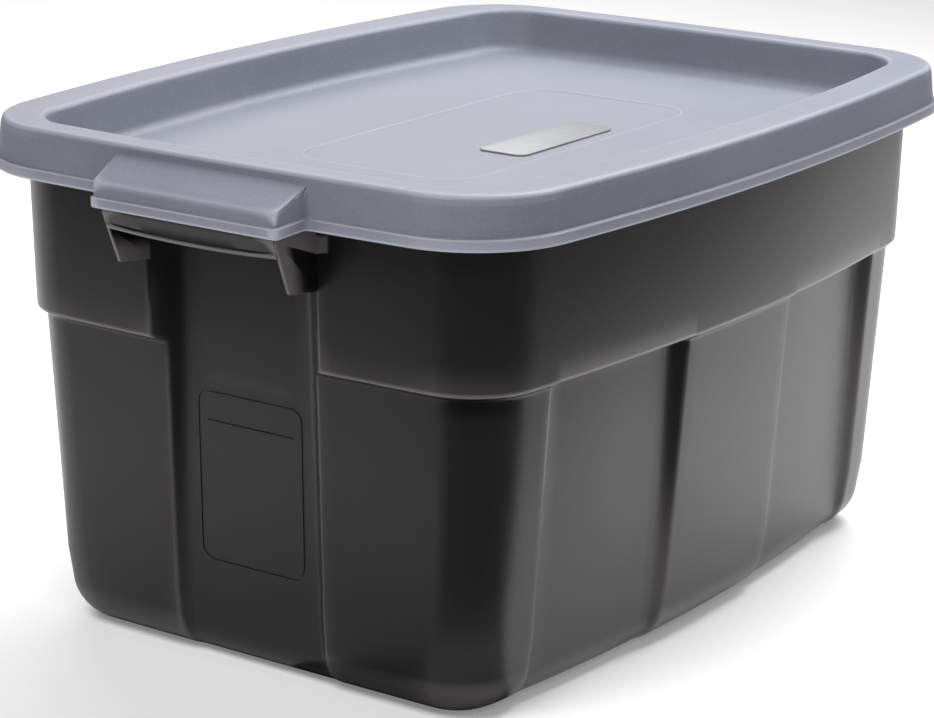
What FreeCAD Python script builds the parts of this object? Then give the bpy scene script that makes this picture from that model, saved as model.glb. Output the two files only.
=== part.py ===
import FreeCAD, Part
import math
import os

# Stackable storage bin: a tub with two moulded hand grips, a snap-over lid and the lid's plate.
# Millimetres. The origin is the middle of the foot, +X runs along the length, +Z is up.
# A plan size is a half size, measured at the middle of its side. Sides bow outwards.

# Overall sizes of the tub
mouth_half_length = 253.8
mouth_half_width = 190.0
rim_height = 307.5         # foot to the top of the rim

# Tub outlines below the mouth: how far in they are set from it, as (at the end, at the side)
band_inset = (3.5, 1.8)
ledge_inset = (10.2, 6.4)
foot_inset = (17.8, 19.5)

# Each outline's corner radius, the bow of its ends and the bow of its sides
mouth_shape = (48.0, 6.0, 20.8)
band_shape = (46.0, 5.8, 20.8)
ledge_shape = (40.0, 5.5, 20.5)
foot_shape = (38.0, 1.0, 17.5)
least_corner = 3.0         # an outline that is moved inwards keeps at least this corner radius

wall = 2.5
ledge_height = 192.2       # foot to the lower edge of the ledge
ledge_rise = 3.0           # height of the sloping ledge under the band
foot_radius = 28.0         # round between the side walls and the foot
foot_lift = 2.5            # the middle of the floor stands this much clear of the ground
foot_ring = 22.0           # width of the flat ring that the tub stands on

# Recessed panels in the walls below the ledge
panel_depth = 8.2
panel_depth_foot = 5.2
panel_splay = 1.0          # run of a panel's side wall along the tub for each unit of its depth
side_panel_inner = 58.9    # from the middle of the long side to the panel's near edge
side_panel_margin = 67.0   # from the panel's far edge to the end of the mouth
end_panel_margin = 7.0     # an end panel is narrower than the grip above it, each side
end_panel_drop = 45.5      # rim to the top of the end panel, which runs on through the band
pocket_root = 16.4         # the pocket cutters reach this far behind a panel's face

# Write-on frame debossed into each end panel
frame_margin = 16.0        # from the panel's edge to the frame
frame_bottom = 63.0
frame_drop = 25.2          # ledge to the top of the frame
frame_corner = 9.0
frame_line = 1.6
frame_depth = 0.5

# Tub rim and hand grips
rim_reach = 10.0           # the rim stands out this far from the mouth
rim_skirt = 14.0           # depth of the rim's turned-down edge
grip_half_width = 61.0     # to the outer face of a grip's side gusset
grip_reach = 34.3          # grip face in front of the mouth
grip_shelf_drop = 5.2      # rim to the grip's shelf
grip_front_drop = 16.3     # rim to the front edge of the shelf
grip_bend_drop = 31.5      # the grip's lip turns inwards this far below the rim
grip_bead_drop = 39.3      # rim to the bead's middle
grip_lip_tuck = 4.9        # how far the bead is set back from the lip's face
grip_bead_radius = 2.4
grip_bead_sag = 2.0        # the bead dips this much at the middle of the grip
gusset_foot_drop = 66.0    # rim to where the gussets' lower edge meets the wall
gusset_toe_drop = 62.8     # rim to the gussets' lower front corner
gusset_toe_reach = 21.0    # the lower front corner in front of the mouth

# Lid
rim_gap = 2.5              # between the tub's rim and the lid's skirt
mouth_gap = 1.2            # between the tub's wall and the lid's tray
lid_wall = 2.5
skirt_thickness = 2.3
skirt_height = 29.5        # top of the lid to the skirt's lower edge
skirt_lip_height = 6.8
skirt_lip_step = 1.2       # the lower lip stands proud of the skirt by this much
skirt_draft = 3.0          # the skirt leans in by this much from its lip to the rim
skirt_round = 3.0
tray_depth = 28.0          # top of the lid to the recessed panel that the next bin stands on
tray_draft = 8.0           # the tray's walls lean in by this much
tray_margin = 8.0          # the long rims are wider than the end ones by this much
tray_corner = 36.0
tray_foot_round = 6.0
field_half_length = 131.0  # the sunk field in the middle of the tray
field_half_width = 62.0
field_shift = -8.0         # from the middle of the lid, across it
field_corner = 26.0
field_depth = 0.8

# Lid flaps over the grips
flap_gap = 1.1             # between the grip and the flap, on every side
flap_wall = 2.2
flap_flare = 2.9           # a flap is this much wider at the skirt than at its front, each side
flap_height = 31.5         # top of the lid to the flap's lower edge
flap_lip_height = 6.3

# Plate on the lid
badge_half_length = 51.0
badge_half_width = 17.0
badge_corner = 9.0
badge_thickness = 1.2
badge_margin = 10.0        # from the sunk field's near edge to the plate

overshoot = 30.0           # cutters run past the faces that they cut by this much
nudge = 1.0                # cutters that end just past a face do so by this much
touch = 0.01               # edges this close to a height lie at it

# Places that follow from the sizes above
mouth_plan = (mouth_half_length, mouth_half_width) + mouth_shape
band_plan = (mouth_half_length - band_inset[0], mouth_half_width - band_inset[1]) + band_shape
ledge_plan = (mouth_half_length - ledge_inset[0], mouth_half_width - ledge_inset[1]) + ledge_shape
foot_plan = (mouth_half_length - foot_inset[0], mouth_half_width - foot_inset[1]) + foot_shape
ledge_lean = 1.0 - ledge_rise / (2 * (ledge_inset[0] - band_inset[0]))  # rise of the inner ledge over the wall
side_panel_outer = mouth_half_length - side_panel_margin
end_panel_half = grip_half_width - end_panel_margin
end_panel_top = rim_height - end_panel_drop
grip_top_inner = rim_height - grip_shelf_drop
grip_top_outer = rim_height - grip_front_drop
grip_lip_bend = rim_height - grip_bend_drop
grip_lip_bottom = rim_height - grip_bead_drop
lid_top = rim_height + lid_wall
skirt_foot = lid_top - skirt_height
tray_floor = lid_top - tray_depth
flap_foot = lid_top - flap_height


def vec(x, y, z=0.0):
    return FreeCAD.Vector(x, y, z)


def grown(plan, amount):
    """The same plan moved outwards by an amount, or inwards if it is negative."""
    half_length, half_width, corner, end_bow, side_bow = plan
    return (half_length + amount, half_width + amount, max(corner + amount, least_corner), end_bow, side_bow)


def between(low, high, share):
    return tuple(a + (b - a) * share for a, b in zip(low, high))


def bowed_outline(plan, z):
    """A closed outline of eight tangent arcs: two ends, two long sides and four corners."""
    half_length, half_width, corner, end_bow, side_bow = plan
    side_radius = (half_length ** 2 + side_bow ** 2) / (2 * side_bow)
    end_radius = (half_width ** 2 + end_bow ** 2) / (2 * end_bow)
    side_centre = vec(0, half_width - side_radius)
    end_centre = vec(half_length - end_radius, 0)
    side_reach = side_radius - corner
    end_reach = end_radius - corner
    span = end_centre - side_centre
    apart = span.Length
    along = (side_reach ** 2 - end_reach ** 2 + apart ** 2) / (2 * apart)
    across = math.sqrt(side_reach ** 2 - along ** 2)
    corner_centre = side_centre + span * (along / apart) + vec(span.y, -span.x) * (across / apart)
    side_point = side_centre + (corner_centre - side_centre) * (side_radius / side_reach)
    end_point = end_centre + (corner_centre - end_centre) * (end_radius / end_reach)
    corner_mid = corner_centre + (side_point + end_point - corner_centre * 2).normalize() * corner
    points = []
    for sx, sy in ((1, 1), (-1, 1), (-1, -1), (1, -1)):
        first, second = (end_point, side_point) if sx * sy > 0 else (side_point, end_point)
        points.append((vec(sx * first.x, sy * first.y, z), vec(sx * corner_mid.x, sy * corner_mid.y, z),
                       vec(sx * second.x, sy * second.y, z)))
    middles = (vec(0, half_width, z), vec(-half_length, 0, z), vec(0, -half_width, z), vec(half_length, 0, z))
    edges = []
    for index in range(4):
        start, middle, end = points[index]
        edges.append(Part.Arc(start, middle, end).toShape())
        edges.append(Part.Arc(end, middles[index], points[(index + 1) % 4][0]).toShape())
    return Part.Wire(edges)


def drafted(low_plan, high_plan, low, high):
    """A solid between two bowed outlines."""
    return Part.makeLoft([bowed_outline(low_plan, low), bowed_outline(high_plan, high)], True, True)


def prism(points, low, high):
    """An upright prism on a polygon of plan points."""
    corners = [vec(x, y, low) for x, y in points]
    face = Part.Face(Part.makePolygon(corners + [corners[0]]))
    return face.extrude(vec(0, 0, high - low))


def rounded_box(half_x, half_y, corner, low, high):
    box = Part.makeBox(2 * half_x, 2 * half_y, high - low, vec(-half_x, -half_y, low))
    upright = [e for e in box.Edges if e.BoundBox.ZLength > touch]
    return box.makeFillet(corner, upright)


def tub_form(inset, floor):
    """The tub's outer form moved inwards, with its underside at a given height."""
    foot = grown(foot_plan, -inset)
    ledge = grown(ledge_plan, -inset)
    band = grown(band_plan, -inset)
    mouth = grown(mouth_plan, -inset)
    lower = ledge_height + inset * ledge_lean
    upper = lower + ledge_rise
    body = drafted(between(foot, ledge, floor / lower), ledge, floor, lower)
    underside = [e for e in body.Edges if e.BoundBox.ZMax < floor + touch]
    body = body.makeFillet(foot_radius - inset, underside)
    step = drafted(ledge, band, lower, upper)
    top = drafted(band, mouth, upper, rim_height)
    return body.fuse([step, top]).removeSplitter()


def floor_form(inset, floor):
    """The form that the recessed panels' faces lie on, moved inwards by the inset."""
    foot = grown(foot_plan, -panel_depth_foot - inset)
    ledge = grown(ledge_plan, -panel_depth - inset)
    body = drafted(between(foot, ledge, floor / ledge_height), ledge, floor, ledge_height)
    underside = [e for e in body.Edges if e.BoundBox.ZMax < floor + touch]
    body = body.makeFillet(foot_radius - panel_depth_foot - inset, underside)
    above = between(foot, ledge, (end_panel_top + overshoot) / ledge_height)
    return body.fuse(drafted(ledge, above, ledge_height, end_panel_top + overshoot)).removeSplitter()


def wall_plan(z):
    """Plan of the walls below the ledge at a height, carried on above the ledge."""
    return between(foot_plan, ledge_plan, z / ledge_height)


def wedge(outline, low, high):
    """A solid between one polygon's places at two heights."""
    wires = []
    for z in (low, high):
        corners = [vec(x, y, z) for x, y in outline(z)]
        wires.append(Part.makePolygon(corners + [corners[0]]))
    return Part.makeLoft(wires, True, True)


def side_pocket(margin, low, high):
    """A wedge over one panel of the long side, widened by a margin for the wall behind it."""
    spread = margin * math.hypot(1.0, panel_splay)
    inner = side_panel_inner - spread
    outer = side_panel_outer + spread
    deep = panel_depth + pocket_root

    def outline(z):
        half_length, half_width, corner, end_bow, side_bow = wall_plan(z)
        near = half_width - side_bow * (side_panel_inner / half_length) ** 2
        far = half_width - side_bow * (side_panel_outer / half_length) ** 2
        return [(inner + deep * panel_splay, near - deep),
                (inner - overshoot * panel_splay, near + overshoot),
                (outer + overshoot * panel_splay, far + overshoot),
                (outer - deep * panel_splay, far - deep)]

    return wedge(outline, low, high)


def end_pocket(margin, low, high):
    """A wedge over the panel of one end."""
    half = end_panel_half + margin * math.hypot(1.0, panel_splay)
    deep = panel_depth + pocket_root

    def outline(z):
        face = wall_plan(z)[0]
        inner = (face - deep, half - deep * panel_splay)
        outer = (face + overshoot, half + overshoot * panel_splay)
        return [inner, outer, (outer[0], -outer[1]), (inner[0], -inner[1])]

    return wedge(outline, low, high)


def mirrored(shape, across_x, across_y):
    result = shape.copy()
    if across_x:
        result = result.mirror(vec(0, 0), vec(1, 0))
    if across_y:
        result = result.mirror(vec(0, 0), vec(0, 1))
    return result


def pockets(inset, low, floor):
    """All the wedges outside the panels' faces, moved inwards by the inset."""
    side = side_pocket(inset, low, ledge_height + inset * ledge_lean)
    end = end_pocket(inset, low, end_panel_top + inset)
    shapes = [mirrored(side, flip_x, flip_y) for flip_x in (False, True) for flip_y in (False, True)]
    shapes += [end, mirrored(end, True, False)]
    face = floor_form(inset, floor)
    return [shape.cut(face) for shape in shapes]


def write_on_frames():
    """Shallow grooves that draw a rounded frame on each end panel."""
    frame_top = ledge_height - frame_drop
    frame_half_width = end_panel_half - frame_margin
    slope = (ledge_plan[0] - panel_depth - foot_plan[0] + panel_depth_foot) / ledge_height
    middle = (frame_bottom + frame_top) / 2
    half_height = (frame_top - frame_bottom) / 2
    face = foot_plan[0] - panel_depth_foot + slope * middle
    outer = rounded_box(half_height, frame_half_width, frame_corner, -frame_depth, overshoot)
    inner = rounded_box(half_height - frame_line, frame_half_width - frame_line,
                        frame_corner - frame_line, -overshoot, 2 * overshoot)
    groove = outer.cut(inner)
    groove.rotate(vec(0, 0), vec(0, 1), 90.0 + math.degrees(math.atan(slope)))
    groove.translate(vec(face, 0, middle))
    return [groove, mirrored(groove, True, False)]


def grip():
    """One hand grip on the +X end: a shelf, a lip with a bead, and two side gussets."""
    face = mouth_half_length + grip_reach
    root = mouth_half_length - wall
    rim = mouth_half_length + rim_reach
    inner_half = grip_half_width - wall
    tuck = face - grip_lip_tuck
    shelf = Part.Face(Part.makePolygon([
        vec(root, 0, grip_top_inner), vec(rim, 0, grip_top_inner), vec(face, 0, grip_top_outer),
        vec(face, 0, grip_lip_bend), vec(tuck + wall / 2, 0, grip_lip_bottom),
        vec(tuck - wall / 2, 0, grip_lip_bottom), vec(face - wall, 0, grip_lip_bend),
        vec(face - wall, 0, grip_top_outer - wall), vec(rim, 0, grip_top_inner - wall),
        vec(root, 0, grip_top_inner - wall), vec(root, 0, grip_top_inner)]))
    shelf.translate(vec(0, -grip_half_width, 0))
    shelf = shelf.extrude(vec(0, 2 * grip_half_width, 0))
    gusset = Part.Face(Part.makePolygon([
        vec(root, 0, grip_top_inner - wall / 2), vec(rim, 0, grip_top_inner - wall / 2),
        vec(face, 0, grip_top_outer - wall / 2), vec(face, 0, grip_lip_bend),
        vec(mouth_half_length + gusset_toe_reach, 0, rim_height - gusset_toe_drop),
        vec(root, 0, rim_height - gusset_foot_drop),
        vec(root, 0, grip_top_inner - wall / 2)]))
    plates = []
    for start in (-grip_half_width, inner_half):
        plate = gusset.copy()
        plate.translate(vec(0, start, 0))
        plates.append(plate.extrude(vec(0, wall, 0)))
    bead_path = Part.Arc(vec(tuck, -inner_half - wall / 2, grip_lip_bottom),
                         vec(tuck, 0, grip_lip_bottom - grip_bead_sag),
                         vec(tuck, inner_half + wall / 2, grip_lip_bottom)).toShape()
    bead_start = Part.Circle(bead_path.valueAt(bead_path.FirstParameter),
                             bead_path.tangentAt(bead_path.FirstParameter), grip_bead_radius).toShape()
    bead = Part.Wire([bead_path]).makePipeShell([Part.Wire([bead_start])], True, True)
    return shelf.fuse(plates + [bead])


def rim():
    """The flange round the mouth and its turned-down edge, open between each grip's gussets."""
    outer = grown(mouth_plan, rim_reach)
    flange = drafted(outer, outer, rim_height - wall, rim_height)
    skirt = drafted(outer, outer, rim_height - rim_skirt, rim_height)
    inner = grown(mouth_plan, rim_reach - wall)
    skirt = skirt.cut(drafted(inner, inner, rim_height - rim_skirt - nudge, rim_height + nudge))
    half_length = mouth_half_length + rim_reach + overshoot
    half_width = grip_half_width - wall
    window_foot = rim_height - rim_skirt - nudge
    window = Part.makeBox(2 * half_length, 2 * half_width, grip_top_inner - wall - window_foot,
                          vec(-half_length, -half_width, window_foot))
    return flange.fuse(skirt.cut(window))


def tub():
    outer = tub_form(0.0, 0.0)
    outer = outer.cut(pockets(0.0, -nudge, 0.0))
    grips = [grip(), mirrored(grip(), True, False)]
    outer = outer.fuse([rim()] + grips)
    cavity = tub_form(wall, wall)
    cavity = cavity.cut(pockets(wall, -nudge, wall))
    lift = grown(foot_plan, -foot_radius - foot_ring)
    cavity = cavity.cut(drafted(grown(lift, wall), grown(lift, wall), 0.0, wall + foot_lift))
    mouth = grown(mouth_plan, -wall)
    cavity = cavity.fuse(drafted(mouth, mouth, rim_height - nudge, rim_height + nudge))
    solid = outer.cut(cavity)
    solid = solid.cut(drafted(lift, lift, -nudge, foot_lift))
    return solid.cut(write_on_frames())


def skirt_space(height):
    """The inner face of the lid's skirt, which clears the tub's rim."""
    lean = skirt_draft * (height - skirt_foot) / (rim_height - skirt_foot)
    return grown(mouth_plan, rim_reach + rim_gap + skirt_draft / 2 - lean)


def tray_plan(amount):
    """The top of the tray, inside the tub's mouth."""
    plan = grown(mouth_plan, -wall - mouth_gap - lid_wall + amount)
    return (plan[0], plan[1] - tray_margin, tray_corner + amount, plan[3], plan[4])


def tray_form(amount):
    """The hollow of the tray, moved outwards and down by an amount."""
    floor = tray_floor - amount
    solid = drafted(tray_plan(amount - tray_draft), tray_plan(amount), floor, lid_top)
    underside = [e for e in solid.Edges if e.BoundBox.ZMax < floor + touch]
    return solid.makeFillet(tray_foot_round + amount, underside)


def flap_form(clear, start, foot):
    """A flap of the +X end: a box with a sloping top that stands clear of the grip by a distance."""
    front = mouth_half_length + grip_reach + clear
    half_front = grip_half_width + clear
    half_start = half_front + flap_flare
    slope = (grip_top_inner - grip_top_outer) / (grip_reach - rim_reach)
    lift = clear * math.hypot(1.0, slope)
    rim = mouth_half_length + rim_reach
    front_top = grip_top_inner + lift - slope * (front - rim)
    start_top = grip_top_inner + lift - slope * max(start - rim, 0.0)
    profile = [vec(start, 0, foot), vec(front, 0, foot), vec(front, 0, front_top)]
    if start < rim:
        profile.append(vec(rim, 0, start_top))
    profile.append(vec(start, 0, start_top))
    face = Part.Face(Part.makePolygon(profile + [profile[0]]))
    face.translate(vec(0, -2 * half_front, 0))
    solid = face.extrude(vec(0, 4 * half_front, 0))
    plan = prism([(front, half_front), (front, -half_front), (start, -half_start), (start, half_start)],
                 foot - overshoot, lid_top)
    return solid.common(plan)


def flap():
    """The solid form of one flap with its lip, rooted in the skirt's wall."""
    root = mouth_half_length + rim_reach + rim_gap + skirt_thickness / 2
    body = flap_form(flap_gap + flap_wall, root, flap_foot)
    lip = flap_form(flap_gap + flap_wall + skirt_lip_step, root, flap_foot)
    below = Part.makeBox(2 * grip_reach, 4 * grip_half_width, flap_lip_height,
                         vec(root, -2 * grip_half_width, flap_foot))
    return body.fuse(lip.common(below))


def lid():
    lip_top = skirt_foot + skirt_lip_height
    outer_lip = grown(skirt_space(skirt_foot), skirt_thickness + skirt_lip_step)
    outer_low = grown(skirt_space(lip_top), skirt_thickness)
    outer_high = grown(skirt_space(lid_top), skirt_thickness)
    body = drafted(outer_low, outer_high, lip_top, lid_top)
    rim_edge = [e for e in body.Edges if e.BoundBox.ZMin > lid_top - touch]
    body = body.makeFillet(skirt_round, rim_edge)
    body = body.fuse(drafted(outer_lip, outer_lip, skirt_foot, lip_top))
    below = skirt_foot - nudge
    space = drafted(skirt_space(below), skirt_space(rim_height), below, rim_height)
    body = body.cut(space.cut(tray_form(lid_wall)))
    body = body.fuse([flap(), mirrored(flap(), True, False)])
    opening = flap_form(flap_gap, mouth_half_length + rim_reach - wall, flap_foot - nudge)
    body = body.cut([opening, mirrored(opening, True, False)])
    body = body.cut(tray_form(0.0))
    field = rounded_box(field_half_length, field_half_width, field_corner,
                        tray_floor - field_depth, tray_floor + nudge)
    field.translate(vec(0, field_shift, 0))
    return body.cut(field)


def lid_badge():
    """The plate lies on the sunk field of the tray."""
    seat = tray_floor - field_depth
    plate = rounded_box(badge_half_length, badge_half_width, badge_corner, seat, seat + badge_thickness)
    plate.translate(vec(0, field_shift - field_half_width + badge_margin + badge_half_width, 0))
    return plate


pieces = {"tub": tub, "lid": lid, "lid_badge": lid_badge}

os.makedirs("parts", exist_ok=True)
for name, make in pieces.items():
    make().exportStep("parts/" + name + ".step")
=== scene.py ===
import math

import bmesh
import bpy
from mathutils import Matrix, Vector


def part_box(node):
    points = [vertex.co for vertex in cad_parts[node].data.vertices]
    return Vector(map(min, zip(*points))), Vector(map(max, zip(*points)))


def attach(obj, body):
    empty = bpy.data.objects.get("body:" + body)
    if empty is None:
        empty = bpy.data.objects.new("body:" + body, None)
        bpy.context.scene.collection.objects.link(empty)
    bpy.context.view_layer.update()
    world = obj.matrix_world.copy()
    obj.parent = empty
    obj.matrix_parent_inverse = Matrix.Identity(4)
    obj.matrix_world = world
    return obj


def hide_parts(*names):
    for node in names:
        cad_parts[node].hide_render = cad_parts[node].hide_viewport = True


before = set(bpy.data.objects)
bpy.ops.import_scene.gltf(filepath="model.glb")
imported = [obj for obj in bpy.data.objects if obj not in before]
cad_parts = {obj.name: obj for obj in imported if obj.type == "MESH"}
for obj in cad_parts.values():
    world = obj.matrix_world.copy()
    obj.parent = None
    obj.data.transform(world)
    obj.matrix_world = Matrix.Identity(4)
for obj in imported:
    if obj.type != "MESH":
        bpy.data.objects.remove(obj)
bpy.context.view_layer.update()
tubLow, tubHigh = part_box("tub")
lidLow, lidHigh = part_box("lid")
badgeLow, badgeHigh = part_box("lid_badge")

mm = 0.001  # the piece dictionaries are in millimetres
weld = 1e-5
rimTop = tubHigh.z / mm
lidTop = lidHigh.z / mm

def softMax(value, spread):
    # zero below, the value itself above, and a round turn between
    if value <= -spread:
        return 0.0
    if value >= spread:
        return value
    return (value + spread) ** 2 / (4 * spread)


class Outline:  # eight tangent arcs: two bowed ends, two bowed sides and four corners
    def __init__(self, halfLength, halfWidth, corner, endBow, sideBow):
        self.size = (halfLength, halfWidth, corner, endBow, sideBow)
        self.corner = corner
        self.sideRadius = (halfLength ** 2 + sideBow ** 2) / (2 * sideBow)
        self.endRadius = (halfWidth ** 2 + endBow ** 2) / (2 * endBow)
        self.sideCentre = Vector((0, halfWidth - self.sideRadius))
        self.endCentre = Vector((halfLength - self.endRadius, 0))
        sideReach = self.sideRadius - corner
        endReach = self.endRadius - corner
        span = self.endCentre - self.sideCentre
        along = (sideReach ** 2 - endReach ** 2 + span.length_squared) / (2 * span.length)
        across = math.sqrt(sideReach ** 2 - along ** 2)
        turned = Vector((span.y, -span.x))
        self.cornerCentre = self.sideCentre + (span * along + turned * across) / span.length
        sidePoint = self.sideCentre + (self.cornerCentre - self.sideCentre) * (self.sideRadius / sideReach)
        endPoint = self.endCentre + (self.cornerCentre - self.endCentre) * (self.endRadius / endReach)
        self.sideEnd = sidePoint.x
        self.endEnd = endPoint.y
        self.startAngle = math.atan2(*(endPoint - self.cornerCentre).yx)
        self.stopAngle = math.atan2(*(sidePoint - self.cornerCentre).yx)

    def onEnd(self, y):
        return Vector((self.endCentre.x + math.sqrt(self.endRadius ** 2 - y * y), y))

    def onSide(self, x):
        return Vector((x, self.sideCentre.y + math.sqrt(self.sideRadius ** 2 - x * x)))

    def onCorner(self, share):
        angle = self.startAngle + (self.stopAngle - self.startAngle) * share
        return self.cornerCentre + Vector((math.cos(angle), math.sin(angle))) * self.corner

    def grown(self, amount):
        halfLength, halfWidth, corner, endBow, sideBow = self.size
        return Outline(halfLength + amount, halfWidth + amount, max(corner + amount, 3.0), endBow, sideBow)


def between(low, high, share):
    return Outline(*[a + (b - a) * share for a, b in zip(low.size, high.size)])


# A grid draped over one quarter, mirrored to the whole ring, with its middle closed.
# The middle faces up or down, and the rest faces outwards with it.
def drapeQuarter(rows, stations, place, up):
    bm = bmesh.new()
    bmesh.ops.create_grid(bm, x_segments=len(stations) - 1, y_segments=len(rows) - 1, size=1.0)
    bm.verts.ensure_lookup_table()
    for index, vert in enumerate(bm.verts):
        row, column = divmod(index, len(stations))
        vert.co = Vector(place(rows[row], stations[column])) * mm
    for axis in ("X", "Y"):
        bmesh.ops.mirror(bm, geom=bm.verts[:] + bm.edges[:] + bm.faces[:], axis=axis, merge_dist=weld)
    bmesh.ops.remove_doubles(bm, verts=bm.verts[:], dist=weld)
    loops = [e for e in bm.edges if e.is_boundary]
    nearest = min(loops, key=lambda e: e.verts[0].co.xy.length)
    inner = {nearest}
    grown = [nearest]
    while grown:
        edge = grown.pop()
        for vert in edge.verts:
            for other in vert.link_edges:
                if other.is_boundary and other not in inner:
                    inner.add(other)
                    grown.append(other)
    middle = bmesh.ops.edgeloop_fill(bm, edges=list(inner))["faces"][0]
    bmesh.ops.recalc_face_normals(bm, faces=bm.faces[:])
    if middle.normal.z * up < 0:
        bmesh.ops.reverse_faces(bm, faces=bm.faces[:])
    return bm


def newVerts(made):
    return [g for g in made["geom"] if isinstance(g, bmesh.types.BMVert)]


# Turns a shape made for the +X end to its own end, with its faces outwards
def atEnd(bm, side):
    if side < 0:
        bmesh.ops.rotate(bm, verts=bm.verts[:], cent=(0, 0, 0), matrix=Matrix.Rotation(math.pi, 3, "Z"))
    bmesh.ops.recalc_face_normals(bm, faces=bm.faces[:])
    return bm


def addObject(name, bm, smoothAngle=35.0):
    mesh = bpy.data.meshes.new(name)
    bm.to_mesh(mesh)
    bm.free()
    for polygon in mesh.polygons:
        polygon.use_smooth = True
    mesh.set_sharp_from_angle(angle=math.radians(smoothAngle))
    made = bpy.data.objects.new(name, mesh)
    bpy.context.scene.collection.objects.link(made)
    return made


# The object with its modifiers made part of its mesh
def applied(made):
    bpy.context.view_layer.update()
    evaluated = made.evaluated_get(bpy.context.evaluated_depsgraph_get())
    mesh = bpy.data.meshes.new_from_object(evaluated)
    made.modifiers.clear()
    made.data = mesh
    return made


def giveWall(made, thickness):
    wall = made.modifiers.new("wall", "SOLIDIFY")
    wall.thickness = thickness * mm
    wall.offset = -1.0  # inwards
    wall.use_even_offset = False


# The tool is cut out of the target, or made one with it, and is used up
def carved(target, tool, operation):
    step = target.modifiers.new(operation.lower(), "BOOLEAN")
    step.operation = operation
    step.solver = "EXACT"
    step.use_self = target.name == "grip"  # its two gussets run through it
    step.object = tool
    applied(target)
    bpy.data.objects.remove(tool)


# The tub, in millimetres. An inset is what an outline loses in half length and half width
# from the mouth, then its corner radius and the bow of its ends and of its long sides.
tub = {
    "gripReach": 34.3,
    "rimReach": 10.0,
    "bandInset": (3.5, 1.8, 46.0, 5.8, 20.8),
    "ledgeInset": (10.2, 6.4, 40.0, 5.5, 20.5),
    "footInset": (17.8, 19.5, 38.0, 1.0, 17.5),
    "mouthShape": (48.0, 6.0, 20.8),  # corner radius and the two bows
    "wall": 2.5,
    "ledgeDrop": 115.3,
    "ledgeRise": 3.0,
    "footRadius": 28.0,
    "footRing": 22.0,
    "footLift": 2.5,
    "panelDepth": 8.2,
    "panelDepthFoot": 5.2,
    "sidePanel": (58.9, 186.8),  # near and far edge along the side
    "sideMargin": 10.0,
    "endPanel": 54.0,  # half width
    "endPanelDrop": 45.5,
    "crestRound": 1.7,
    "floorRound": 4.2,
    "rimSkirt": 14.0,
    "wallRows": (44, 62, 84, 106, 128, 150, 170, 182),  # heights where the mesh has rings
    "bandRows": (212, 230, 246),
    "headRows": (276.0, 288.0, 298.0),
}

mouthHalf = (tubHigh.x / mm - tub["gripReach"], tubHigh.y / mm - tub["rimReach"])


def insetPlan(key):
    inLength, inWidth, corner, endBow, sideBow = tub[key]
    return Outline(mouthHalf[0] - inLength, mouthHalf[1] - inWidth, corner, endBow, sideBow)


mouthPlan = Outline(*mouthHalf, *tub["mouthShape"])
bandPlan = insetPlan("bandInset")
ledgePlan = insetPlan("ledgeInset")
footPlan = insetPlan("footInset")
ledgeHeight = rimTop - tub["ledgeDrop"]
bandHeight = ledgeHeight + tub["ledgeRise"]
endPanelTop = rimTop - tub["endPanelDrop"]


def wallPlan(z):
    return between(footPlan, ledgePlan, z / ledgeHeight)


def upperPlan(z):
    return between(bandPlan, mouthPlan, (z - bandHeight) / (rimTop - bandHeight))


def panelDepth(z):
    return tub["panelDepthFoot"] + (tub["panelDepth"] - tub["panelDepthFoot"]) * z / ledgeHeight


# Depth of a panel at a distance in from its edge: a 45 degree wall with both turns rounded
def recess(run, depth):
    if depth <= 0.01:
        return 0.0
    sunk = softMax(run, tub["crestRound"])
    return depth - softMax(depth - sunk, min(tub["floorRound"], depth * 0.6))


# Places round one quarter, from the middle of the end to the middle of the long side.
# A place is its kind, a distance, and its share of the panel depth and of the wall's lean.
def tubStations():
    low, high = tub["sidePanel"]
    half = tub["endPanel"]
    turns = (-1.7, -1.0, -0.3, 0.5, 1.4)
    hollow = (0.5, 0.68, 0.84, 1.0, 1.2, 1.5)
    end = [(y, 0.0, 0.0) for y in (0.0, 8.0, 16.0, 24.0, 32.0)]
    end += [(half, -t, 0.0) for t in reversed(hollow)]
    end += [(half - t, 0.0, 1.0) for t in reversed(turns)]
    side = [(high - t, 0.0, 0.0) for t in turns]
    side += [(high, -t, 0.0) for t in hollow]
    side += [(low + (high - low) * s, 0.0, 0.0) for s in (0.84, 0.72, 0.6, 0.48, 0.36, 0.24, 0.14)]
    side += [(low, t, 0.0) for t in reversed(hollow)]
    side += [(low + t, 0.0, 0.0) for t in reversed(turns)]
    side += [(x, 0.0, 0.0) for x in (48.0, 36.0, 24.0, 12.0, 0.0)]
    stations = [("end",) + s for s in end]
    stations += [("endRest", s) for s in (0.12, 0.26, 0.44, 0.62, 0.8)]
    stations += [("corner", s / 14) for s in range(15)]
    stations += [("sideRest", s) for s in (0.25, 0.5, 0.75)]
    stations += [("side",) + s for s in side]
    return stations


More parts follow.
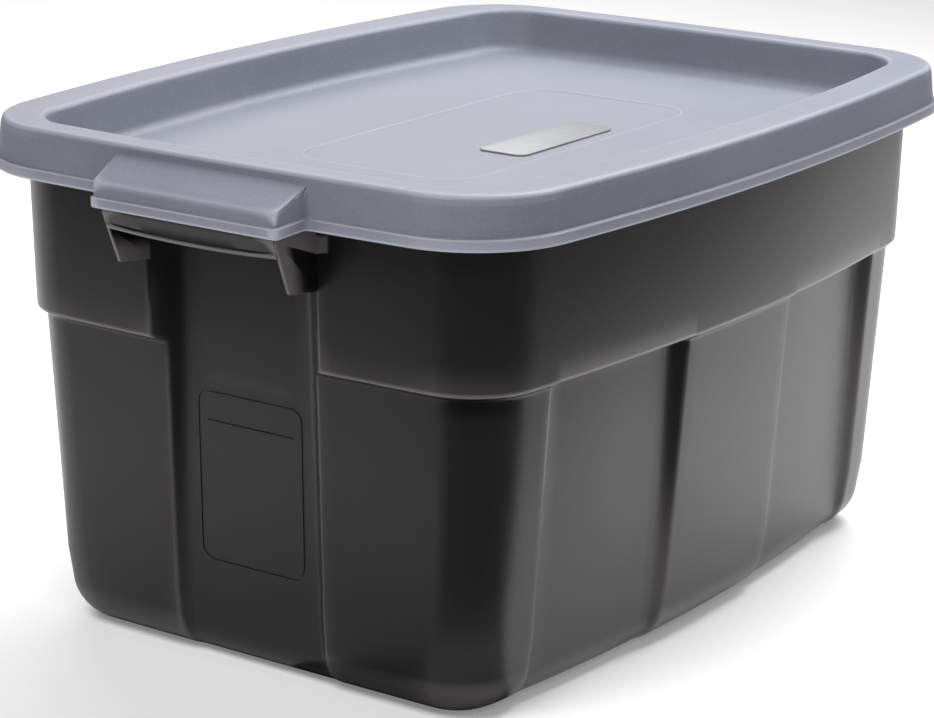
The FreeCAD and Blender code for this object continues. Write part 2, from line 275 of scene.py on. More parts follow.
# Rings from the middle of the foot out and up to the rim's turned-down edge
def tubRows():
    radius = tub["footRadius"]
    rows = []
    flat = footPlan.grown(-radius)
    hollow = flat.grown(-tub["footRing"])
    lift = tub["footLift"]
    for amount, z in ((-30.0, lift), (-3.0, lift), (-1.6, lift - 0.25), (-0.6, lift - 1.0),
                      (-0.2, 0.5), (0.6, 0.0)):
        rows.append({"plan": hollow.grown(amount), "z": z})
    rows.append({"plan": flat.grown(-8.0), "z": 0.0})
    for step in range(11):
        rows.append({"turn": math.radians(87.5) * step / 10})
    for z in (*tub["wallRows"], ledgeHeight - 2.0):
        rows.append({"plan": wallPlan(z), "z": z, "side": panelDepth(z), "end": panelDepth(z)})
    for share, rise in ((0.01, -0.7), (0.08, 0.15), (0.2, 0.6), (0.5, 1.5), (0.78, 2.35), (0.92, 2.95),
                        (0.98, 3.9), (1.0, 5.4)):
        z = ledgeHeight + rise
        base = wallPlan(min(z, ledgeHeight))
        rows.append({"plan": between(base, bandPlan, share), "z": z, "end": panelDepth(z),
                     "side": panelDepth(ledgeHeight) * (1.0 - share)})
    for z in (*tub["bandRows"], endPanelTop - 4.0, endPanelTop - 1.2):
        rows.append({"plan": upperPlan(z), "z": z, "end": panelDepth(z)})
    for keep, rise in ((0.96, -0.2), (0.75, 0.35), (0.4, 0.8), (0.14, 1.2), (0.0, 2.6)):
        z = endPanelTop + rise
        rows.append({"plan": upperPlan(z), "z": z, "end": panelDepth(z), "keep": keep})
    for z in (*tub["headRows"], rimTop - 4.6):
        rows.append({"plan": upperPlan(z), "z": z})
    under = rimTop - tub["wall"]
    inner = tub["rimReach"] - tub["wall"]
    for amount, z in ((0.1, under - 1.3), (0.7, under - 0.4), (1.8, under), (4.6, under),
                      (inner - 1.4, under - 0.1), (inner - 0.4, under - 0.6), (inner, under - 1.8),
                      (inner, under - 6.0), (inner, rimTop - tub["rimSkirt"])):
        rows.append({"plan": mouthPlan.grown(amount), "z": z})
    return rows


def placeTub(row, station):
    kind = station[0]
    turn = row.get("turn")  # the foot's rows are turns of its round, the rest have a height
    radius = tub["footRadius"]
    plan = row["plan"] if turn is None else footPlan.grown(-radius * (1.0 - math.sin(turn)))
    z = row.get("z", 0.0)
    least = 0.0 if turn is None else tub["panelDepthFoot"]
    endDepth = row.get("end", least)
    sideDepth = row.get("side", least)
    spread = panelDepth(min(z, ledgeHeight))
    out = 0.0
    if z > ledgeHeight - 1.0:
        out = min(plan.size[0], mouthHalf[0]) - wallPlan(z).size[0]
    keep = row.get("keep", 1.0)
    if kind == "corner":
        point, depth = plan.onCorner(station[1]), 0.0
    elif kind in ("end", "endRest"):
        if kind == "end":
            y = station[1] + station[2] * spread + station[3] * out
        else:
            start = tub["endPanel"] + tub["crestRound"] + out
            y = start + (plan.endEnd - start) * station[1]
        point = plan.onEnd(y)
        depth = recess(tub["endPanel"] + out - abs(y), endDepth + out) * keep if endDepth else 0.0
        direction = Vector((1.0, 0.0))
    else:
        near, far = tub["sidePanel"]
        scale = min(1.0, plan.sideEnd / (far + tub["sideMargin"]))
        if kind == "side":
            x = station[1] + station[2] * spread
        else:
            start = far + tub["crestRound"]
            x = plan.sideEnd / scale + (start - plan.sideEnd / scale) * station[1]
        depth = recess(min(x - near, far - x), sideDepth)
        point = plan.onSide(x * scale)
        direction = Vector((0.0, 1.0))
    if turn is not None:
        z = (radius - depth) * (1.0 - math.cos(turn))
        depth *= math.sin(turn)
    if depth:
        point = point - direction * depth
    return (point.x, point.y, z)


print("tub")
tubShell = addObject("tubShell", drapeQuarter(tubRows(), tubStations(), placeTub, -1))
giveWall(tubShell, tub["wall"])


# The grips under the lid's flaps; a drop is measured down from the rim
grip = {
    "halfWidth": 61.0,
    "wall": 2.5,
    "topInnerDrop": 5.2,
    "topOuterDrop": 16.3,
    "lipBendDrop": 31.5,
    "beadDrop": 39.3,
    "tuck": 4.9,
    "bead": 2.4,
    "sag": 2.0,
    "gussetFootDrop": 66.0,
    "gussetToeDrop": 62.8,
    "gussetToeReach": 21.0,
    "edgeRound": 0.7,
}


# Shelf, lip and bead of one grip: a closed profile pulled along the grip
def gripBody(side):
    wall = grip["wall"]
    face = mouthHalf[0] + tub["gripReach"]
    root = mouthHalf[0] - tub["wall"] * 0.5
    rim = mouthHalf[0] + tub["rimReach"]
    top = rimTop - grip["topInnerDrop"]
    outer = rimTop - grip["topOuterDrop"]
    bend = rimTop - grip["lipBendDrop"]
    beadZ = rimTop - grip["beadDrop"]
    tuck = face - grip["tuck"]
    profile = [(root, top), (rim, top), (face, outer), (face, bend)]
    for step in range(9):
        angle = math.radians(35 - step * 30)
        profile.append((tuck + grip["bead"] * math.cos(angle), beadZ + grip["bead"] * math.sin(angle)))
    profile += [(face - wall, bend), (face - wall, outer - wall), (rim, top - wall), (root, top - wall)]
    half = grip["halfWidth"] - wall * 0.5
    bm = bmesh.new()
    verts = [bm.verts.new((x * mm, -half * mm, z * mm)) for x, z in profile]
    bm.faces.new(verts)
    turns = [verts[i] for i in (1, 2, 3, len(profile) - 2, len(profile) - 3, len(profile) - 4)]
    bmesh.ops.bevel(bm, geom=turns, offset=1.2 * mm, segments=3, profile=0.5, affect="VERTICES", material=-1)
    steps = 16
    for step in range(steps):
        faces = [f for f in bm.faces if abs(f.normal.y) > 0.9]
        front = max(faces, key=lambda f: f.calc_center_median().y)
        made = bmesh.ops.extrude_face_region(bm, geom=[front])
        bmesh.ops.translate(bm, verts=newVerts(made), vec=(0, 2 * half / steps * mm, 0))
        if front.is_valid and step > 0:
            bmesh.ops.delete(bm, geom=[front], context="FACES_ONLY")
    for vert in bm.verts:
        low = min(1.0, max(0.0, (bend * mm - vert.co.z) / ((bend - beadZ) * mm)))
        vert.co.z -= low * grip["sag"] * mm * (1.0 - (vert.co.y / (half * mm)) ** 2)
    return atEnd(bm, side)


# One of the plates that carry a grip
def gusset(side, flank):
    wall = grip["wall"]
    face = mouthHalf[0] + tub["gripReach"]
    root = mouthHalf[0] - tub["wall"] * 0.6
    rim = mouthHalf[0] + tub["rimReach"]
    lower = wall * 0.3
    profile = [(root, rimTop - grip["topInnerDrop"] - lower), (rim, rimTop - grip["topInnerDrop"] - lower),
               (face - 0.3, rimTop - grip["topOuterDrop"] - lower), (face - 0.3, rimTop - grip["lipBendDrop"]),
               (mouthHalf[0] + grip["gussetToeReach"], rimTop - grip["gussetToeDrop"]),
               (root - 2.7, rimTop - grip["gussetFootDrop"])]
    start = (grip["halfWidth"] - wall) if flank > 0 else -grip["halfWidth"]
    bm = bmesh.new()
    plate = bm.faces.new([bm.verts.new((x * mm, start * mm, z * mm)) for x, z in profile])
    made = bmesh.ops.extrude_face_region(bm, geom=[plate])
    bmesh.ops.translate(bm, verts=newVerts(made), vec=(0, wall * mm, 0))
    bmesh.ops.bevel(bm, geom=bm.edges[:], offset=grip["edgeRound"] * mm, segments=2, profile=0.5,
                    affect="EDGES", material=-1)
    return atEnd(bm, side)


print("grips")
gripParts = []
for side in (1, -1):
    gripParts.append(addObject("grip", gripBody(side)))
    for flank in (1, -1):
        carved(gripParts[-1], addObject("gusset", gusset(side, flank)), "UNION")


# Groove that frames the write-on field, with a plain rule under its head
writeOn = {
    "half": (38.0, 52.0),
    "middle": 115.0,
    "corner": 9.0,
    "line": 1.7,
    "depth": 0.7,
    "ruleHalf": 31.0,
    "ruleLine": 1.0,
    "ruleHeight": 148.5,
    "cutter": 6.0,  # height of the cutters
}


# Turns a flat cutter upright and sets it into the face of an end panel
def standOnPanel(bm, middle, side):
    low = wallPlan(0.0).size[0] - panelDepth(0.0)
    high = wallPlan(ledgeHeight).size[0] - panelDepth(ledgeHeight)
    slope = (high - low) / ledgeHeight
    face = low + slope * middle - writeOn["depth"]
    turn = Matrix.Rotation(math.pi / 2 + math.atan(slope), 4, "Y")
    bmesh.ops.transform(bm, matrix=Matrix.Translation((face * mm, 0, middle * mm)) @ turn, verts=bm.verts[:])
    return atEnd(bm, side)


def raised(bm, height):
    made = bmesh.ops.extrude_face_region(bm, geom=bm.faces[:])
    bmesh.ops.translate(bm, verts=newVerts(made), vec=(0, 0, height * mm))


def frameCutter(side):
    bm = bmesh.new()
    bmesh.ops.create_grid(bm, x_segments=1, y_segments=1, size=1.0)
    halfWidth, halfHeight = writeOn["half"]
    bmesh.ops.scale(bm, vec=(halfHeight * mm, halfWidth * mm, 1.0), verts=bm.verts[:])
    bmesh.ops.bevel(bm, geom=bm.verts[:], offset=writeOn["corner"] * mm, segments=8, profile=0.5,
                    affect="VERTICES", material=-1)
    bmesh.ops.inset_individual(bm, faces=bm.faces[:], thickness=writeOn["line"] * mm)
    middle = max(bm.faces, key=lambda f: f.calc_area())
    bmesh.ops.delete(bm, geom=[middle], context="FACES_ONLY")
    raised(bm, writeOn["cutter"])
    return standOnPanel(bm, writeOn["middle"], side)


def ruleCutter(side):
    bm = bmesh.new()
    bmesh.ops.create_grid(bm, x_segments=1, y_segments=1, size=1.0)
    bmesh.ops.scale(bm, vec=(writeOn["ruleLine"] * 0.5 * mm, writeOn["ruleHalf"] * mm, 1.0), verts=bm.verts[:])
    raised(bm, writeOn["cutter"])
    return standOnPanel(bm, writeOn["ruleHeight"], side)


# The lid, in millimetres; a drop is measured down from its top
lid = {
    "wall": 2.3,
    "skirtReach": 14.8,
    "skirtDraft": 3.0,
    "skirtRound": 3.2,
    "rimRound": 4.2,
    "footDrop": 29.5,
    "lipHeight": 6.8,
    "lipStep": 1.2,
    "trayDrop": 28.0,
    "trayInset": (6.2, 14.2, 36.0, 6.0, 20.8),  # as the tub's insets
    "trayDraft": 8.0,
    "trayRound": 7.5,
    "field": (131.0, 62.0, 26.0, 0.3, 0.5),  # half length, half width, corner, bows
    "fieldShift": -8.0,
    "fieldFade": 60.0,
    "fieldDepth": 0.8,
    "flapFront": 37.6,
    "flapHalf": 64.3,
    "flapFlare": 2.9,
    "flapRoot": 2.4,  # round where a flap leaves the skirt
    "flapBlend": 5.2,  # reach at which a flap's rounds are full
    "flapTopDrop": 5.6,
    "flapFrontDrop": 16.7,
    "flapLipDrop": 25.2,
    "flapFootDrop": 31.5,
}

flapLength = lid["flapFront"] - lid["skirtReach"] + lid["skirtDraft"] * 0.5


# Outer face of the lid's skirt at a height
def skirtPlan(z):
    foot = lidTop - lid["footDrop"]
    share = (z - foot) / (lidTop - foot)
    return mouthPlan.grown(lid["skirtReach"] + lid["skirtDraft"] * (0.5 - share))


def trayPlan(amount):
    inLength, inWidth, corner, endBow, sideBow = lid["trayInset"]
    return Outline(mouthHalf[0] - inLength + amount, mouthHalf[1] - inWidth + amount, corner + amount,
                   endBow, sideBow)


# Rings from the sunk field in the middle out over the rim and down the skirt
def lidRows():
    floor = lidTop - lid["trayDrop"]
    field = Outline(*lid["field"])
    sunk = floor - lid["fieldDepth"]
    rows = []
    for amount, z in ((-2.5, sunk), (-0.8, sunk + 0.03), (-0.3, sunk + 0.2),
                      (0.3, floor - 0.2), (0.8, floor - 0.03), (2.5, floor)):
        rows.append({"plan": field.grown(amount), "z": z})
    draft = lid["trayDraft"]
    rows.append({"mix": (field.grown(2.5), trayPlan(-draft - 16.0), 0.5), "z": floor})
    rows.append({"plan": trayPlan(-draft - 16.0), "z": floor})
    radius = lid["trayRound"]
    lean = math.atan(draft / lid["trayDrop"])
    stop = math.pi / 2 - lean
    for step in range(8):
        turn = stop * step / 7
        back = radius * math.tan(stop / 2)
        rows.append({"plan": trayPlan(-draft - back + radius * math.sin(turn)),
                     "z": floor + radius * (1.0 - math.cos(turn))})
    for share in (0.45, 0.62, 0.78):
        rows.append({"plan": trayPlan(-draft * (1.0 - share)), "z": floor + lid["trayDrop"] * share})
    turnRadius = lid["rimRound"]
    back = turnRadius * math.tan(stop / 2)
    for step in range(7):
        turn = stop * (1.0 - step / 6)
        rows.append({"plan": trayPlan(back - turnRadius * math.sin(turn)),
                     "z": lidTop - turnRadius * (1.0 - math.cos(turn))})
    outer = skirtPlan(lidTop)
    roundness = lid["skirtRound"]
    for share in (0.33, 0.66):
        rows.append({"mix": (trayPlan(back), outer.grown(-roundness), share), "z": lidTop})
    for step in range(6):
        turn = math.radians(84) * step / 5
        rows.append({"plan": outer.grown(-roundness * (1.0 - math.sin(turn))),
                     "z": lidTop - roundness * (1.0 - math.cos(turn))})
    foot = lidTop - lid["footDrop"]
    lipTop = foot + lid["lipHeight"]
    start = lidTop - lid["flapTopDrop"]
    corner = lidTop - lid["flapFrontDrop"]
    flapLip = lidTop - lid["flapLipDrop"]
    flapFoot = lidTop - lid["flapFootDrop"]
    slope = flapLength / (start - corner)
    lip = lid["lipStep"]
    rows.append({"z": start + 0.4})
    rows.append({"z": start - 0.3, "reach": 1.0})
    for share in (0.25, 0.5, 0.75):
        rows.append({"z": start - (start - corner) * share, "reach": (start - corner) * share * slope})
    for rise, short in ((1.15, 2.2), (0.45, 1.1), (-0.35, 0.35), (-1.6, 0.0)):
        rows.append({"z": corner + rise, "reach": flapLength - short})
    rows.append({"z": lipTop + 1.6, "flapZ": flapLip + 2.0, "reach": flapLength})
    for grow, low in ((0.05, 0.5), (0.35, 0.15), (lip - 0.35, -0.15), (lip - 0.05, -0.5), (lip, -1.4)):
        rows.append({"z": lipTop + low, "flapZ": flapLip + low, "reach": flapLength, "grow": grow})
    for grow, low in ((lip, 1.6), (lip - 0.1, 0.5), (lip - 0.6, 0.0)):
        rows.append({"z": foot + low, "flapZ": flapFoot + low, "reach": flapLength, "grow": grow})
    return rows


def lidStations():
    stations = [("flap", y) for y in (0.0, 12.0, 24.0, 36.0, 48.0, 57.0)]
    stations += [("turn", -2.6, 0.0), ("turn", -1.3, 0.35), ("turn", -0.45, 1.15), ("turn", -0.05, 2.6)]
    stations += [("wallSpan", 0.66), ("wallSpan", 0.33)]
    stations += [("root", 0.05, 2.4), ("root", 0.45, 1.1), ("root", 1.2, 0.35), ("root", 2.4, 0.0)]
    stations += [("endRest", s) for s in (0.1, 0.25, 0.42, 0.6, 0.8)]
    stations += [("corner", s / 14) for s in range(15)]
    stations += [("side", s) for s in (0.94, 0.84, 0.72, 0.6, 0.48, 0.36, 0.24, 0.12, 0.0)]
    return stations


def placeLid(row, station):
    kind = station[0]
    if "mix" in row:
        low, high, share = row["mix"]
        a = Vector(placeLid({"plan": low, "z": row["z"]}, station))
        b = Vector(placeLid({"plan": high, "z": row["z"]}, station))
        return tuple(a + (b - a) * share)
    plan = row["plan"] if "plan" in row else skirtPlan(row["z"])
    grow = row.get("grow", 0.0)
    if grow:
        plan = plan.grown(grow)
    reach = row.get("reach", 0.0)
    z = row["z"]
    flapZ = row.get("flapZ", z)
    if kind == "corner":
        point = plan.onCorner(station[1])
    elif kind == "side":
        point = plan.onSide(plan.sideEnd * station[1])
    else:
        narrow = min(1.0, plan.endEnd / 150.0) if "plan" in row else 1.0
        rootY = lid["flapHalf"] + lid["flapFlare"] + grow
        run = reach / flapLength
        cornerY = rootY - lid["flapFlare"] * run
        soft = min(1.0, reach / lid["flapBlend"])
        weight, push = 0.0, 0.0
        if kind == "flap":
            spread = (cornerY - 3.0) / (lid["flapHalf"] - 3.0)
            y, weight, push = min(station[1] * spread, cornerY - 4.0), 1.0, reach
        elif kind == "turn":
            y, weight, push = cornerY + station[1], 1.0, reach - station[2] * soft
        elif kind == "wallSpan":
            y = rootY - lid["flapFlare"] * run * station[1]
            weight, push = station[1], reach * station[1]
            y += 0.05 * (0.5 - station[1])
        elif kind == "root":
            y, push = rootY + station[1], station[2] * soft
        else:
            y = rootY + lid["flapRoot"] + (plan.endEnd - rootY - lid["flapRoot"]) * station[1]
        if "plan" in row and kind != "endRest":
            y *= narrow
        elif "plan" in row:
            start = (rootY + lid["flapRoot"]) * narrow
            y = start + (plan.endEnd - start) * station[1]
        front = plan.onEnd(min(abs(y), plan.endEnd))
        base = front.x
        if reach:
            flat = mouthHalf[0] + lid["skirtReach"] - lid["skirtDraft"] * 0.5 + grow  # under a flap
            base = base + (flat - base) * weight * run
        point = Vector((base + push, front.y))
        z = z + (flapZ - z) * weight
    return (point.x, point.y, z)


print("lid")
lidMesh = drapeQuarter(lidRows(), lidStations(), placeLid, 1)
for vert in lidMesh.verts:
    # the sunk field sits a little towards the near side of the tray
    beyond = max(abs(vert.co.x) / mm - lid["field"][0], abs(vert.co.y) / mm - lid["field"][1], 0.0)
    if vert.co.z / mm < lidTop - lid["trayDrop"] + 0.1:
        vert.co.y += lid["fieldShift"] * mm * min(1.0, max(0.0, 1.1 - beyond / lid["fieldFade"]))
lidShell = addObject("lidShell", lidMesh)
giveWall(lidShell, lid["wall"])


plate = {"round": 0.35, "corner": 7.0}


def plateMesh():
    bm = bmesh.new()
    bmesh.ops.create_cube(bm, size=1.0)
    size = badgeHigh - badgeLow
    bmesh.ops.scale(bm, vec=size, verts=bm.verts[:])
    bmesh.ops.translate(bm, vec=(badgeLow + badgeHigh) / 2, verts=bm.verts[:])
    upright = [e for e in bm.edges if abs(e.verts[0].co.z - e.verts[1].co.z) > size.z * 0.5]
    bmesh.ops.bevel(bm, geom=upright, offset=plate["corner"] * mm, segments=8, profile=0.5,
                    affect="EDGES", material=-1)
    top = [e for e in bm.edges if min(v.co.z for v in e.verts) > badgeHigh.z - weld]
    bmesh.ops.bevel(bm, geom=top, offset=plate["round"] * mm, segments=3, profile=0.5,
                    affect="EDGES", material=-1)
    return bm


print("plate")
lidPlate = addObject("lidPlate", plateMesh())


class Wire:  # a node socket that Python's own operators can be used on
    def __init__(self, tree, socket):
        self.tree = tree
        self.socket = socket

    def made(self, kind, settings=None, output=0, **inputs):
        node = self.tree.nodes.new(kind)
        for key, value in (settings or {}).items():
            if key == "stops":
                ramp = node.color_ramp
                while len(ramp.elements) < len(value):
                    ramp.elements.new(0.5)
                for element, (place, tone) in zip(ramp.elements, value):
                    element.position = place
                    element.color = (*tone, 1.0) if isinstance(tone, tuple) else (tone, tone, tone, 1.0)
            else:
                setattr(node, key, value)
        for key, value in inputs.items():
            numbered = key[0] == "i" and key[1:].isdigit()  # i0 is the first socket, i6 the seventh
            target = node.inputs[int(key[1:]) if numbered else key.replace("_", " ")]
            if isinstance(value, Wire):
                self.tree.links.new(value.socket, target)
            else:
                target.default_value = value
        return Wire(self.tree, node.outputs[output])

    def maths(self, operation, first=None, second=0.0):
        return self.made("ShaderNodeMath", {"operation": operation},
                         i0=self if first is None else first, i1=second)

    def __add__(self, other):
        return self.maths("ADD", self, other)

    __radd__ = __add__

    def __mul__(self, other):
        return self.maths("MULTIPLY", self, other)

    __rmul__ = __mul__

    def __sub__(self, other):
        return self.maths("SUBTRACT", self, other)

    def __rsub__(self, other):
        return self.maths("SUBTRACT", other, self)

    def ramp(self, low, high):  # 0 at low, 1 at high, smooth between
        return self.made("ShaderNodeMapRange", {"interpolation_type": "SMOOTHSTEP"}, Value=self,
                         From_Min=low, From_Max=high, To_Min=0.0, To_Max=1.0)

    def mixed(self, first, second):  # colour mix, with this value as the share of the second
        return self.made("ShaderNodeMix", {"data_type": "RGBA"}, 2, i0=self, i6=first, i7=second)


def finish(name):
    made = bpy.data.materials.new(name)
    made.use_nodes = True
    tree = made.node_tree
    shader = tree.nodes["Principled BSDF"]
    place = Wire(tree, tree.nodes.new("ShaderNodeTexCoord").outputs["Object"])
    return made, tree, shader, place


def noise(place, scale, detail=3.0, roughness=0.5, stretch=(1.0, 1.0, 1.0)):
    moved = place.made("ShaderNodeMapping", {}, Vector=place, Scale=stretch)
    return place.made("ShaderNodeTexNoise", {}, Vector=moved, Scale=scale, Detail=detail, Roughness=roughness)


def setInputs(tree, shader, **inputs):
    for key, value in inputs.items():
        target = shader.inputs[key.replace("_", " ")]
        if isinstance(value, Wire):
            tree.links.new(value.socket, target)
        else:
            target.default_value = value


# Moulded charcoal plastic: satin, faintly mottled, with paler turned edges that are a painted highlight
charcoal = {
    "deep": (0.0038, 0.0036, 0.0038, 1),
    "light": (0.0066, 0.0062, 0.0065, 1),
    # pale colour for the turned edges: a painted highlight
    "paintedHighlight": (0.15, 0.14, 0.146, 1),
    "rough": 0.27,
    "grain": 0.16,
    "ior": 1.62,
    "tint": (1.0, 0.94, 0.97, 1),
    "fieldSide": (0.043, 0.048),  # the write-on field is inside this and under the next
    "fieldTop": (0.17, 0.178),
}


def charcoalPlastic():
    made, tree, shader, place = finish("charcoalPlastic")
    cloud = noise(place, 9.0, 4.0, 0.55)
    speck = noise(place, 420.0, 2.0, 0.6)
    flow = noise(place, 14.0, 3.0, 0.5, (1.0, 1.0, 0.12))
    grain = noise(place, 1500.0, 2.0, 0.6)
    # painted highlight: the turned edges are made paler in the base colour
    edge = Wire(tree, tree.nodes.new("ShaderNodeNewGeometry").outputs["Pointiness"]).ramp(0.503, 0.535)
    across = place.made("ShaderNodeSeparateXYZ", {}, "Y", Vector=place).maths("ABSOLUTE")
    beside = across.ramp(*charcoal["fieldSide"])
    above = place.made("ShaderNodeSeparateXYZ", {}, "Z", Vector=place).ramp(*charcoal["fieldTop"])
    edge = edge * (1.0 - (1.0 - beside) * (1.0 - above))  # no painted edge highlight in and around the write-on field
    base = (cloud * 0.6 + speck * 0.4).ramp(0.3, 0.7).mixed(charcoal["deep"], charcoal["light"])
    paintedHighlight = (edge * 0.8).mixed(base, charcoal["paintedHighlight"])
    rough = charcoal["rough"] + cloud * 0.05 + flow * 0.05 + speck * 0.05
    bump = place.made("ShaderNodeBump", {}, Strength=charcoal["grain"], Distance=0.0004,
                      Height=grain * 0.6 + speck * 0.4)
    setInputs(tree, shader, Base_Color=paintedHighlight, Roughness=rough, Normal=bump, IOR=charcoal["ior"],
              Specular_Tint=charcoal["tint"])
    return made


# Moulded blue-grey plastic with a fine leather grain, and a painted highlight on its turned edges
blueGrey = {
    "deep": (0.15, 0.158, 0.2, 1),
    "light": (0.188, 0.197, 0.242, 1),
    # pale colour for the turned edges: a painted highlight
    "paintedHighlight": (0.5, 0.52, 0.6, 1),
    "rough": 0.46,
    "grain": 0.22,
    "ior": 1.48,
}


def lidPlastic():
    made, tree, shader, place = finish("lidPlastic")
    cloud = noise(place, 7.0, 4.0, 0.55)
    speck = noise(place, 600.0, 2.0, 0.6)
    pores = place.made("ShaderNodeTexVoronoi", {"feature": "F1"}, Vector=place, Scale=520.0)
    # painted highlight: the turned edges are made paler in the base colour
    edge = Wire(tree, tree.nodes.new("ShaderNodeNewGeometry").outputs["Pointiness"]).ramp(0.504, 0.54)
    base = (cloud * 0.55 + speck * 0.45).ramp(0.3, 0.7).mixed(blueGrey["deep"], blueGrey["light"])
    paintedHighlight = (edge * 0.6).mixed(base, blueGrey["paintedHighlight"])
    rough = blueGrey["rough"] + cloud * 0.08 + speck * 0.08
    bump = place.made("ShaderNodeBump", {}, Strength=blueGrey["grain"], Distance=0.0004,
                      Height=pores * 0.6 + speck * 0.4)
    setInputs(tree, shader, Base_Color=paintedHighlight, Roughness=rough, Normal=bump, IOR=blueGrey["ior"])
    return made


# Pale inlaid plate, faintly mottled and scuffed lengthways
pale = {
    "deep": (0.19, 0.192, 0.2, 1),
    "light": (0.24, 0.242, 0.25, 1),
    "rough": 0.3,
    "grain": 0.15,
    "ior": 1.48,
}


def platePlastic():
    made, tree, shader, place = finish("platePlastic")
    cloud = noise(place, 30.0, 4.0, 0.6)
    scuff = noise(place, 160.0, 3.0, 0.6, (1.0, 0.12, 1.0))
    base = (cloud * 0.7 + scuff * 0.3).ramp(0.3, 0.75).mixed(pale["deep"], pale["light"])
    bump = place.made("ShaderNodeBump", {}, Strength=pale["grain"], Distance=0.0003, Height=scuff)
    setInputs(tree, shader, Base_Color=base, Roughness=pale["rough"] + scuff * 0.18, Normal=bump,
              IOR=pale["ior"])
    return made


floorTone = {"deep": (0.93, 0.93, 0.93, 1), "light": (0.96, 0.96, 0.96, 1), "glow": 0.2}


def studioFloor():
    made, tree, shader, place = finish("studioFloor")
    tone = noise(place, 2.5, 2.0, 0.5)
    setInputs(tree, shader, Base_Color=tone.mixed(floorTone["deep"], floorTone["light"]), Roughness=0.85,
              Specular_IOR_Level=0.1, Emission_Color=(1.0, 1.0, 1.0, 1), Emission_Strength=floorTone["glow"])
    return made


print("finishes")
tubFinish = charcoalPlastic()
for part in [tubShell] + gripParts:
    part.data.materials.append(tubFinish)
lidShell.data.materials.append(lidPlastic())
lidPlate.data.materials.append(platePlastic())

tubShell = applied(tubShell)
lidShell = applied(lidShell)
for part in gripParts:
    carved(tubShell, part, "UNION")
for side in (1, -1):
    carved(tubShell, addObject("frameCutter", frameCutter(side)), "DIFFERENCE")
    carved(tubShell, addObject("ruleCutter", ruleCutter(side)), "DIFFERENCE")
tubShell.data.set_sharp_from_angle(angle=math.radians(38))

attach(tubShell, "tub")
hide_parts("tub")
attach(lidShell, "lid")
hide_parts("lid")
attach(lidPlate, "lid")
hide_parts("lid_badge")

def floorPlane():
    bm = bmesh.new()
    bmesh.ops.create_grid(bm, x_segments=1, y_segments=1, size=9.0)
    made = addObject("studioFloor", bm)
    made.data.materials.append(studioFloor())


def areaLight(name, place, size, power):
    data = bpy.data.lights.new(name, "AREA")
    data.shape = "RECTANGLE"
    data.size, data.size_y = size
    data.energy = power
    made = bpy.data.objects.new(name, data)
    aim = Vector(camera["target"]) - Vector(place)
    made.matrix_world = Matrix.Translation(place) @ aim.to_track_quat("-Z", "Y").to_matrix().to_4x4()
    bpy.context.scene.collection.objects.link(made)


camera = {
    "target": (0.0, 0.0, 0.150),
    "azimuth": -55.28,
    "elevation": 16.08,
    "roll": 0.61,
    "distance": 1.90449,
    "slide": (-0.01163, -0.01408),
    "lens": 117.19,
    "sensor": 36.0,
}


def makeCamera():
    azimuth, elevation, roll = (math.radians(camera[k]) for k in ("azimuth", "elevation", "roll"))
    back = Vector((math.sin(azimuth) * math.cos(elevation), -math.cos(azimuth) * math.cos(elevation),
                   math.sin(elevation)))
    right = Vector((math.cos(azimuth), math.sin(azimuth), 0.0))
    up = back.cross(right)
    across = math.cos(roll) * right + math.sin(roll) * up
    upward = -math.sin(roll) * right + math.cos(roll) * up
    slideX, slideY = camera["slide"]
    place = Vector(camera["target"]) + back * camera["distance"] + across * slideX + upward * slideY
    data = bpy.data.cameras.new("camera")
    data.lens = camera["lens"]
    data.sensor_width = camera["sensor"]
    data.clip_end = 50.0
    made = bpy.data.objects.new("camera", data)
    made.matrix_world = Matrix((
        (across.x, upward.x, back.x, place.x),
        (across.y, upward.y, back.y, place.y),
        (across.z, upward.z, back.z, place.z),
        (0, 0, 0, 1)))
    bpy.context.scene.collection.objects.link(made)
    bpy.context.scene.camera = made


# A dark card that stands beside the bin and shows only in the plastic's gloss, as a painted dark reflection
def darkCard(name, start, stop, height):
    bm = bmesh.new()
    low = [bm.verts.new((*place, 0.0)) for place in (start, stop)]
    edge = bm.edges.new(low)
    made = bmesh.ops.extrude_edge_only(bm, edges=[edge])
    bmesh.ops.translate(bm, verts=newVerts(made), vec=(0, 0, height))
    glossOnly(addObject(name, bm))


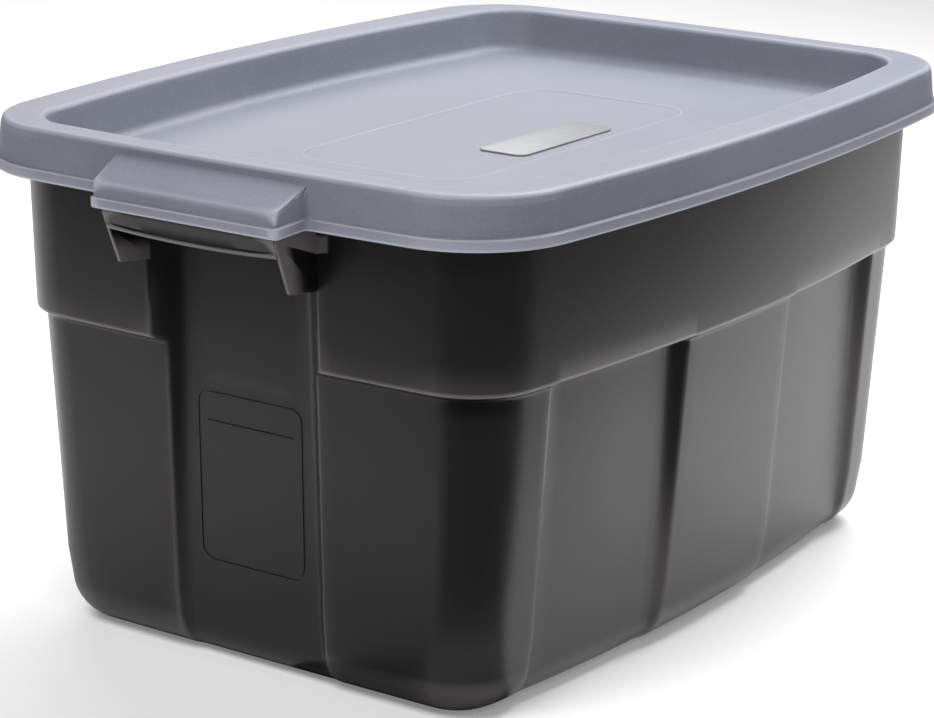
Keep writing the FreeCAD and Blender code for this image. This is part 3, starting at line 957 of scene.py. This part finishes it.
def glossOnly(made, tone=0.02):
    paint = bpy.data.materials.new(made.name)
    paint.use_nodes = True
    shader = paint.node_tree.nodes["Principled BSDF"]
    shader.inputs["Base Color"].default_value = (tone, tone, tone, 1)
    shader.inputs["Roughness"].default_value = 1.0
    made.data.materials.append(paint)
    made.visible_camera = False
    made.visible_diffuse = False
    made.visible_shadow = False


# A mat just above the floor, which shows only in the gloss too, as a painted reflection
def glossMat(name, outline, height, tone):
    bm = bmesh.new()
    bm.faces.new([bm.verts.new((*place, height)) for place in outline])
    bmesh.ops.recalc_face_normals(bm, faces=bm.faces[:])
    glossOnly(addObject(name, bm), tone)


# What the plastic's gloss sees, and where the light comes from
studio = {
    # the dark front mat is a painted shadow: it darkens the floor the gloss sees in front of the bin, where
    # the bin's own shadow falls
    "frontShadowMat": ((-0.2, 0.0), (-0.17, -0.3), (0.25, -0.7), (0.25, -1.3),
                 (-1.3, -1.3), (-1.3, -0.2), (-0.3, -0.08)),
    "endMat": ((-0.1, -0.1), (-1.5, -0.15), (-1.5, 1.5), (-0.4, 1.5), (-0.15, 0.3)),
    "cards": (  # name, start, stop, height
        ("sideCard", (0.02, -0.56), (1.3, -0.56), 0.7),
        ("endCard", (-0.74, -0.05), (-0.74, 1.0), 0.7),
        ("frontCard", (-1.0, 0.25), (0.7, -0.93), 1.1),
    ),
    "lights": (  # name, place, size, watts
        ("backRight", (1.9, 1.9, 1.9), (1.6, 1.6), 30.0),
        ("overNear", (0.7, -0.12, 1.5), (1.3, 1.2), 38.0),
        ("left", (-1.45, 0.1, 1.8), (1.0, 1.0), 24.0),
        ("front", (-1.7, -2.0, 2.0), (1.0, 1.0), 15.0),
    ),
    "sky": 0.04,
}

print("studio")
floorPlane()
makeCamera()
glossMat("frontShadowMat", studio["frontShadowMat"], 0.0015, 0.12)
glossMat("endMat", studio["endMat"], 0.001, 0.68)
for card in studio["cards"]:
    darkCard(*card)
for light in studio["lights"]:
    areaLight(*light)
world = bpy.data.worlds.new("studio")
world.use_nodes = True
world.node_tree.nodes["Background"].inputs["Color"].default_value = (1.0, 1.0, 1.0, 1.0)
world.node_tree.nodes["Background"].inputs["Strength"].default_value = studio["sky"]
bpy.context.scene.world = world
bpy.context.scene.view_settings.view_transform = "Standard"
